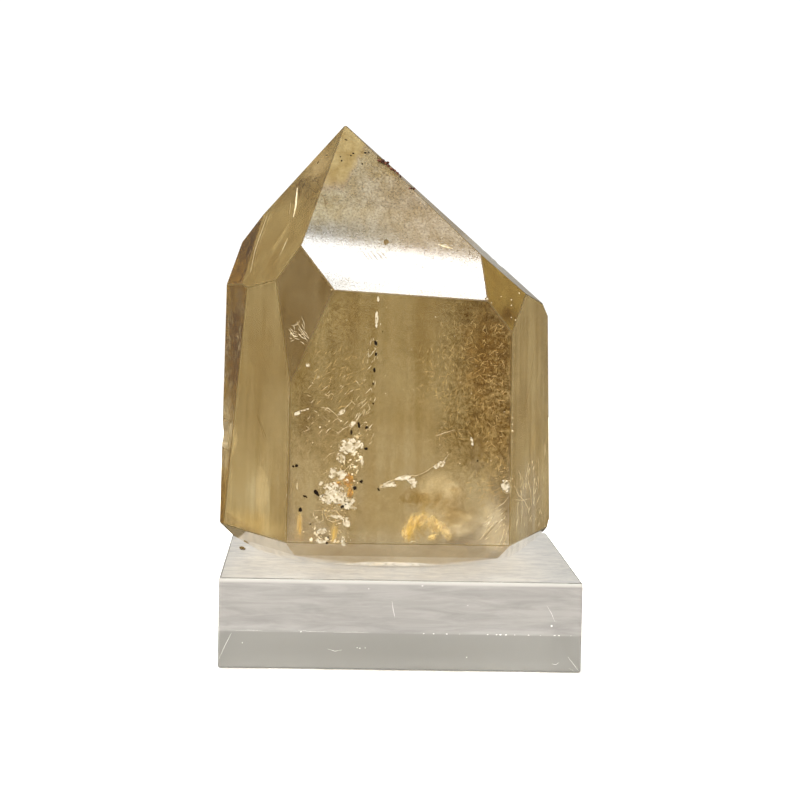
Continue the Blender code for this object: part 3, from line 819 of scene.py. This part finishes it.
draw = random.Random(23)
shape = bmesh.new()
add_threads(shape, draw, "front", 44, (-20.5, -7.5, 49.0, 61.0), (30, 45, 60, -40), 0.07)
add_threads(shape, draw, "front", 26, (-8.4, -5.6, 54.0, 70.0), (40, 60, 80, 100), 0.07)
add_threads(shape, draw, "front", 22, (-11.0, -6.4, 47.0, 57.0), (40, 55, 70), 0.07)
add_threads(shape, draw, "left kite", 14, (-24.2, -21.2, 67.8, 72.8), (-25, -45, -70, 20), 0.07)
add_threads(shape, draw, "front", 16, (16.0, 22.2, 26.4, 34.0), (45, 55, 65), 0.08)
add_threads(shape, draw, "front right", 30, (25.0, 33.0, 27.0, 42.0), (95, 80, 70), 0.12)
for _ in range(230):
    across, up = draw.uniform(-24, 22.5), draw.uniform(27, 76)
    size = 0.07 + 0.13 * draw.random() ** 3
    where = laid(under("front", across, up, draw.choice((-0.01, 0.8))), "front", draw.uniform(0, 180), draw.uniform(-20, 20))
    add_plate(shape, where, (size * 1.6, size), 0.04, draw)
finished("ripples_and_dust", shape, FLAKE)

# %% Fluid threads
# The smoky upper right is full of fluid threads as thin as hair, a shade paler than the stone.
THREAD = grain_finish("Fluid thread", "#b8a070", "#98804c", 0.5, 0.6)
shape = bmesh.new()
add_threads(shape, draw, "front", 250, (7.0, 21.2, 48.0, 73.0), (0, 30, 60, 90, 120, 150), 0.05)
add_threads(shape, draw, "front", 50, (3.0, 9.0, 56.0, 67.0), (0, 30, 60, 90, 120, 150), 0.05)
add_threads(shape, draw, "front", 60, (14.0, 22.2, 34.0, 48.0), (0, 45, 90, 135), 0.05)
add_threads(shape, draw, "front", 60, (-19.0, -8.0, 54.0, 67.0), (30, 45, 60), 0.05)
finished("fluid_threads", shape, THREAD)

# %% [markdown]
# ## Haze, smoke and a painted golden glow
# Milky haze greys the stone's left and lower right, and smoke darkens its upper right. A few crack sheets
# near the foot are painted pale gold: a painted glow for the light that such cracks throw forward.

# %% Soft veils
SOFT_VEILS = {
    "milky_haze": (HAZE, (
                ("front", 20.0, 29, 2.0, 7, 14, 8), ("front", 8.0, 36, 4.0, 12, 12, 20), ("front", 12.0, 30, 3.0, 10, 7, 0),
        ("front", -13.5, 34, 3.5, 9, 20, 0), ("front right", 28.5, 33, 1.2, 11, 15, 0),
        ("front right", 30.0, 46, 2.0, 6, 22, 0), ("front left", -31.0, 34, 3.0, 9, 16, 0),
        ("front left", -37.0, 45, 0.8, 5, 9, 0), ("front left slope", -27.5, 90, 2.0, 3.4, 10, 0),
    )),
    "smoky_cloud": (SMOKE, (
        ("front", 16.0, 66, 3.0, 12, 18, -10),
        ("left", -36.8, 66, 1.0, 9, 28, 0), ("left slope", -33.5, 87, 1.5, 7, 12, 0),
    )),
    # Pale gold sheets near the foot are a painted glow, for the light that the cracks there throw forward.
    "painted_golden_glow": (PAINTED_GOLD_GLOW, (
        ("front", 2.2, 29.4, 2.4, 3.0, 8.0, -22), ("front", 4.2, 30.6, 3.2, 3.4, 5.0, -40), ("front", 7.0, 29.6, 3.6, 3.6, 6.4, 20),
        ("front", 6.6, 26.9, 2.6, 2.8, 1.8, 20), ("front", 1.0, 27.6, 3.0, 2.2, 4.4, 10), ("front", 9.4, 28.4, 4.4, 3.0, 6.0, 30),
        ("front", -21.6, 29.4, 2.0, 1.6, 7, 0), ("front", -14.0, 27.4, 2.0, 1.7, 6, -8),
    )),
    "iron_stain": (RUST, (
        ("front", -11.4, 39.0, 1.0, 2.6, 3.6, 0), ("front", -11.0, 36.4, 0.9, 1.5, 3.0, 0), ("front", -13.9, 38.1, 1.2, 2.6, 1.2, 10),
        ("front", -12.8, 34.0, 0.8, 2.2, 1.4, -20),
    )),
}
draw = random.Random(3)
for name, (material, veils) in SOFT_VEILS.items():
    shape = bmesh.new()
    core = shape.verts.layers.float.new("core")
    for face, across, up, depth, width, tall, turn in veils:
        place = under(face, across, up, depth)
        add_veil(shape, core, laid(place, face, turn, draw.uniform(-3, 3)), (width, tall), min(depth, 1.2),
                 draw.uniform(0, 50))
    bmesh.ops.solidify(shape, geom=shape.faces[:], thickness=0.02)
    finished(name, shape, material)

# %% Frosted foot
# Right inside the foot the stone is milky: a ring of frosted sheets that lean back, to catch the light
# that comes in through the front.
FROST = veil_finish("Ground, unpolished foot", "#e2e4ec", "#d0d4dc", 3.0, 1.10, 0.8, 1.0, 0.3)
draw = random.Random(12)
shape = bmesh.new()
core = shape.verts.layers.float.new("core")
for compass in range(-84, 85, 12):
    turn = math.radians(compass)
    place = Vector((-2 + 27.4 * math.sin(turn), 4 - 23.4 * math.cos(turn), 21.5))
    upright = Matrix.Translation(place) @ facing(compass, 25).to_track_quat("Z", "Y").to_matrix().to_4x4()
    add_veil(shape, core, upright, (11.0, 4.4), 0.2, draw.uniform(0, 50))
bmesh.ops.solidify(shape, geom=shape.faces[:], thickness=0.02)
finished("frosted_foot", shape, FROST)

# %% [markdown]
# ## Dark minerals
# Goethite grains follow the crack and dot the apex. Where the tip's right edge broke, a crust of iron
# oxide lines the hollow.

# %% Goethite grains
GRAINS = (  # face, across, up, width, height, turn
    ("front", -23.1, 41.8, 0.35, 0.35, 0), ("front", -22.4, 42.0, 0.55, 0.55, 0), ("front", -7.8, 45.8, 0.6, 0.45, 10),
    ("front", -8.7, 38.8, 0.55, 0.5, 0), ("front", -10.0, 37.4, 0.65, 0.65, 0), ("front", -21.5, 32.6, 0.6, 0.75, 0),
    ("front", -18.1, 36.3, 0.6, 1.3, 38), ("front", -16.9, 35.6, 0.3, 0.75, -40), ("front", -20.5, 35.5, 0.75, 0.3, -20),
    ("front", -12.6, 33.4, 0.8, 0.4, 25), ("front", -11.9, 33.9, 0.5, 0.3, -20), ("front", -15.7, 25.6, 0.5, 0.35, 20),
    ("front", -15.5, 26.8, 0.3, 0.3, 0), ("front", -7.8, 50.3, 0.5, 0.4, 20), ("front", -9.4, 50.8, 0.4, 1.0, 12),
    ("front", -11.0, 49.2, 0.35, 0.75, 0), ("front", -6.5, 55.4, 0.3, 0.3, 0), ("front", -6.2, 68.2, 0.45, 0.8, 15),
    ("front", -6.1, 65.8, 0.35, 0.7, 0), ("front", -6.4, 62.4, 0.35, 0.8, 0), ("front", -6.6, 59.6, 0.25, 0.4, 0),
    ("front", -14.2, 25.7, 0.2, 0.2, 0), ("front", -19.3, 29.6, 0.25, 0.25, 0), ("front", 15.9, 43.6, 0.3, 0.3, 0),
    ("front", -5.0, 37.2, 0.3, 0.55, 30), ("front", -4.8, 70.6, 0.2, 0.2, 0),
    ("window", -13.1, 111.6, 0.55, 0.22, -20), ("window", -11.5, 108.6, 0.35, 0.3, 0), ("window", -12.0, 108.1, 0.3, 0.3, 0),
    ("window", -8.9, 108.8, 0.5, 0.3, 0), ("window", -8.1, 108.9, 0.28, 0.25, 0), ("window", -9.5, 106.3, 0.25, 0.5, 10),
    ("window", -14.3, 107.8, 0.25, 0.3, 0), ("window", -14.0, 106.9, 0.3, 0.4, 0),
    ("front left slope", -17.2, 108.2, 0.5, 0.2, 8), ("front left slope", -19.2, 106.6, 0.5, 0.4, 30), 
    ("window", 2.2, 84.8, 0.2, 0.2, 0), ("window", 3.6, 84.3, 0.22, 0.22, 0), ("window", 5.8, 86.2, 0.22, 0.2, 0),
)
draw = random.Random(8)
shape = bmesh.new()
for face, across, up, width, tall, turn in GRAINS:
    thick = min(width, tall) * 0.6
    add_speck(shape, laid(under(face, across, up, 0.0), face, turn), (width * 1.55, tall * 1.55, thick), draw)
for _ in range(46):
    across, up = draw.uniform(-22, 22), draw.uniform(28, 75)
    size = draw.uniform(0.08, 0.16)
    add_speck(shape, laid(under("front", across, up, 0.0), "front"), (size, size, size * 0.5), draw)
finished("goethite_grains", shape, GOETHITE)

# %% Dark hairlines and the crust
DARK_LINES = {
    # On the front, the line from (3.0, 39.8) to (6.9, 42.4) is a painted shadow under the bright cross crack.
    "front": ((0.12, ((21.0, 31.8), (22.2, 33.0), (23.0, 33.8))), (0.10, ((3.0, 39.8), (5.4, 41.0), (6.9, 42.4))),
              (0.14, ((-24.0, 50.0), (-23.9, 44.0), (-23.8, 37.6))), (0.10, ((-17.6, 41.6), (-16.2, 43.2))),
              (0.10, ((-13.2, 46.6), (-12.0, 47.9))), (0.12, ((17.2, 26.6), (18.6, 28.4), (20.8, 30.9)))),
    "front left": ((0.12, ((-31.4, 51.6), (-30.4, 49.0), (-29.4, 46.0))), (0.12, ((-30.9, 51.2), (-29.9, 48.6), (-28.9, 46.4))),
                   (0.10, ((-34.6, 48.8), (-34.3, 48.3))), (0.10, ((-33.7, 50.0), (-33.5, 49.6)))),
    "front right": ((0.12, ((28.8, 62.0), (27.6, 57.0), (26.4, 53.4))), (0.10, ((29.2, 66.6), (28.6, 63.0), (27.8, 60.0)))),
    "front left slope": (
        (0.30, ((-23.3, 102.8), (-23.0, 102.0), (-22.5, 100.4), (-22.9, 98.8))),
        (0.30, ((-22.6, 102.8), (-21.0, 101.0), (-19.0, 99.6))),
        (0.24, ((-21.4, 101.4), (-20.6, 102.4), (-19.4, 102.2), (-18.6, 101.0))),
        (0.22, ((-20.2, 100.4), (-20.4, 98.6), (-19.6, 97.2))), (0.20, ((-23.0, 102.4), (-24.0, 101.4))),
        (0.18, ((-21.0, 101.0), (-21.6, 99.4), (-21.4, 98.2))), (0.20, ((-19.8, 100.4), (-18.8, 100.2))),
    ),
    "window": ((0.26, ((-18.4, 99.6), (-17.6, 98.4), (-17.2, 96.2))), (0.12, ((-16.8, 98.6), (-16.4, 97.0))), (0.17, ((-9.4, 87.4), (-8.5, 86.3), (-7.7, 85.4))),
               (0.17, ((-8.6, 87.5), (-7.6, 86.2), (-6.8, 85.3))), (0.17, ((-7.6, 87.5), (-6.6, 86.3), (-5.8, 85.4))),
               (0.17, ((-6.4, 87.5), (-5.5, 86.4), (-4.8, 85.6))), (0.17, ((-5.4, 87.4), (-4.6, 86.5), (-4.0, 85.9)))),
}
shape = bmesh.new()
for face, lines in DARK_LINES.items():
    outward = facing(*GROUND_FACES[face][:2])
    for width, places in lines:
        add_hairline(shape, [under(face, across, up, -0.03) for across, up in places],
                     width, outward)
finished("dark_hairlines", shape, HAIR)

CRUST_GRAINS = (  # place and size in mm, in the hollows of the tip's broken right edge
    ((-6.0, -9.0, 106.9), (1.1, 0.7, 0.7)), ((-5.2, -9.1, 106.7), (0.9, 0.8, 0.8)), ((-4.5, -9.1, 106.4), (1.0, 0.8, 0.7)),
    ((-3.9, -9.4, 105.8), (0.9, 0.8, 0.8)), ((-3.2, -9.8, 105.1), (1.0, 0.8, 0.9)), ((-2.6, -9.4, 104.7), (0.8, 0.8, 0.8)),
    ((-1.9, -8.8, 104.2), (0.9, 0.8, 0.8)), ((-1.3, -10.4, 103.4), (0.4, 0.4, 1.1)), ((-5.0, -8.4, 107.0), (0.8, 0.8, 0.6)),
    ((1.0, -12.6, 100.9), (1.1, 0.5, 0.4)), ((1.7, -12.2, 100.9), (0.7, 0.6, 0.6)), ((-4.0, -8.2, 106.5), (0.7, 0.7, 0.5)),
)
draw = random.Random(4)
shape = bmesh.new()
for place, size in CRUST_GRAINS:
    add_speck(shape, Matrix.Translation(Vector(place) + Vector((0.15, -0.35, 0.2))) @ Matrix.Rotation(draw.uniform(0, 3), 4, "X"), size, draw)
finished("iron_crust", shape, CRUST)

# %% [markdown]
# ## Bruised edges
# Polished quartz bruises along its edges: tiny cones of crushed, white stone. They sit half in the
# surface, the large ones where the stone was knocked, the rest scattered along the long edges.

# %% Bruises
BRUISES = (
    ((17.2, -28.9, 77.9), 0.6), ((18.0, -28.8, 77.1), 0.4), ((22.7, -23.5, 77.6), 0.45), ((23.4, -26.3, 73.4), 0.5),
    ((22.6, -26.0, 76.6), 0.35), ((22.7, -26.2, 73.5), 0.4), ((23.1, -29.0, 52.8), 0.5), ((23.2, -28.9, 51.4), 0.4),
    ((23.2, -28.9, 50.0), 0.5), ((23.3, -28.7, 39.8), 0.7), ((24.0, -27.1, 38.0), 0.4), ((24.6, -20.3, 79.0), 0.6),
    ((-15.7, -29.4, 79.2), 0.5), ((27.2, -18.3, 35.5), 0.4), ((30.6, -9.1, 29.7), 0.35), ((23.2, -29.2, 34.6), 0.45),
    ((-29.8, -20.2, 41.7), 0.3), ((-28.4, -22.7, 36.2), 0.35), ((-29.1, -21.6, 34.3), 0.3), ((-31.2, -17.2, 47.7), 0.3),
    ((-24.5, -30.3, 28.6), 0.45), ((-24.4, -30.2, 36.4), 0.4), ((-24.2, -30.2, 34.9), 0.35), ((20.4, -25.6, 78.4), 0.3),
)
EDGE_RUNS = (((23.1, -29.3, 70.0), (23.3, -29.0, 27.0), 26), ((-24.2, -30.3, 58.0), (-24.5, -30.8, 26.5), 14),
             ((-15.2, -29.7, 79.1), (17.4, -29.3, 77.5), 6))
draw = random.Random(16)
shape = bmesh.new()
for place, size in BRUISES:
    add_speck(shape, Matrix.Translation(place), (size, size * 0.6, size * 0.8), draw)
for start, end, count in EDGE_RUNS:
    for _ in range(count):
        place = Vector(start).lerp(Vector(end), draw.random())
        size = 0.08 + 0.18 * draw.random() ** 3
        add_speck(shape, Matrix.Translation(place), (size, size, size * draw.uniform(0.8, 2.0)), draw)
finished("bruised_edges", shape, FLAKE)

# %% [markdown]
# ## Wear on the block
# The slab has fine scratches on top, a few dots and nicks on its front, a row of bruises where the plain
# band of its front begins, and one crumb of dirt beside the stone.

# %% Scratches and nicks
TOP = BLOCK_HIGH[2] / MM
FRONT = BLOCK_LOW[1] / MM
BRUISE = grain_finish("Bruised acrylic", "#e4e2de", "#c2c0ba", 0.4, 0.5)
draw = random.Random(31)
shape = bmesh.new()
upward, forward = Vector((0, 0, 1)), Vector((0, -1, 0))
for _ in range(60):
    start = Vector((draw.uniform(-36, 33), draw.uniform(-37, 30), TOP + 0.01))
    reach, bend = draw.uniform(1.0, 6.0), draw.uniform(-0.5, 0.5)
    turn = draw.gauss(0, 0.35)
    along = Vector((math.cos(turn), math.sin(turn), 0)) * reach / 2
    middle = start + along + Vector((0, bend, 0))
    end = start + along * 2
    if max(abs(end.x), abs(end.y)) < 37.5:
        add_hairline(shape, [start, middle, end], draw.uniform(0.06, 0.16), upward)
FRONT_MARKS = (  # width, places as x and z
    (0.07, ((-35.3, 7.4), (-36.4, 5.2), (-37.8, 2.0))), (0.07, ((35.3, 3.4), (36.6, 1.8), (37.6, 0.5))),
    (0.06, ((-15.2, 4.4), (-13.6, 3.9), (-12.2, 4.2))), (0.08, ((32.0, 1.9), (32.8, 1.7), (33.4, 2.2))),
    (0.05, ((35.6, 1.0), (36.8, 0.4))), (0.07, ((-1.9, 14.6), (-1.6, 12.8), (-1.2, 11.2))),
    (0.06, ((30.6, 14.2), (31.6, 12.6), (32.4, 10.8))), (0.03, ((-34.4, 8.0), (-31.5, 8.1), (-28.8, 8.0))),
    (0.03, ((-21.4, 8.3), (-19.0, 8.0), (-15.6, 8.1))), (0.03, ((-14.0, 7.9), (-9.6, 8.0), (-6.4, 7.9))),
)
for width, places in FRONT_MARKS:
    add_hairline(shape, [Vector((x, FRONT - 0.01, z)) for x, z in places], width, forward)
finished("block_scratches", shape, BRUISE)

shape = bmesh.new()
for x, z, size in ((-9.0, 4.7, 0.3), (-8.4, 4.6, 0.3), (-7.3, 4.7, 0.28), (31.7, 9.9, 0.7), (-33.0, 5.4, 0.3),
                   (14.0, 3.0, 0.28), (-6.8, 17.2, 0.3), (4.4, 18.0, 0.35), (14.0, 14.0, 0.22)):
    add_speck(shape, Matrix.Translation((x, FRONT, z)), (size * 0.7, 0.1, size * 0.7), draw)
for x, size in ((4.9, 0.4), (7.0, 0.45), (9.7, 0.4), (12.4, 0.2), (18.3, 0.45), (20.2, 0.35), (21.0, 0.55), (22.2, 0.5),
                (24.0, 0.25), (26.9, 0.4), (29.4, 0.2), (32.4, 0.45), (33.3, 0.45), (35.8, 0.2), (-20.8, 0.35)):
    add_speck(shape, Matrix.Translation((x, FRONT, 7.9)), (size, 0.08, size * 0.45), draw)
finished("block_nicks", shape, BRUISE)

# %% Crumb
shape = bmesh.new()
draw = random.Random(2)
for place, size in (((-34.9, 1.6, TOP + 0.45), (1.4, 1.2, 0.9)), ((-34.3, 1.1, TOP + 0.3), (0.8, 0.8, 0.5))):
    add_speck(shape, Matrix.Translation(place), size, draw)
finished("crumb", shape, grain_finish("Dried clay", "#8a7550", "#4a3c22", 0.3, 0.7))
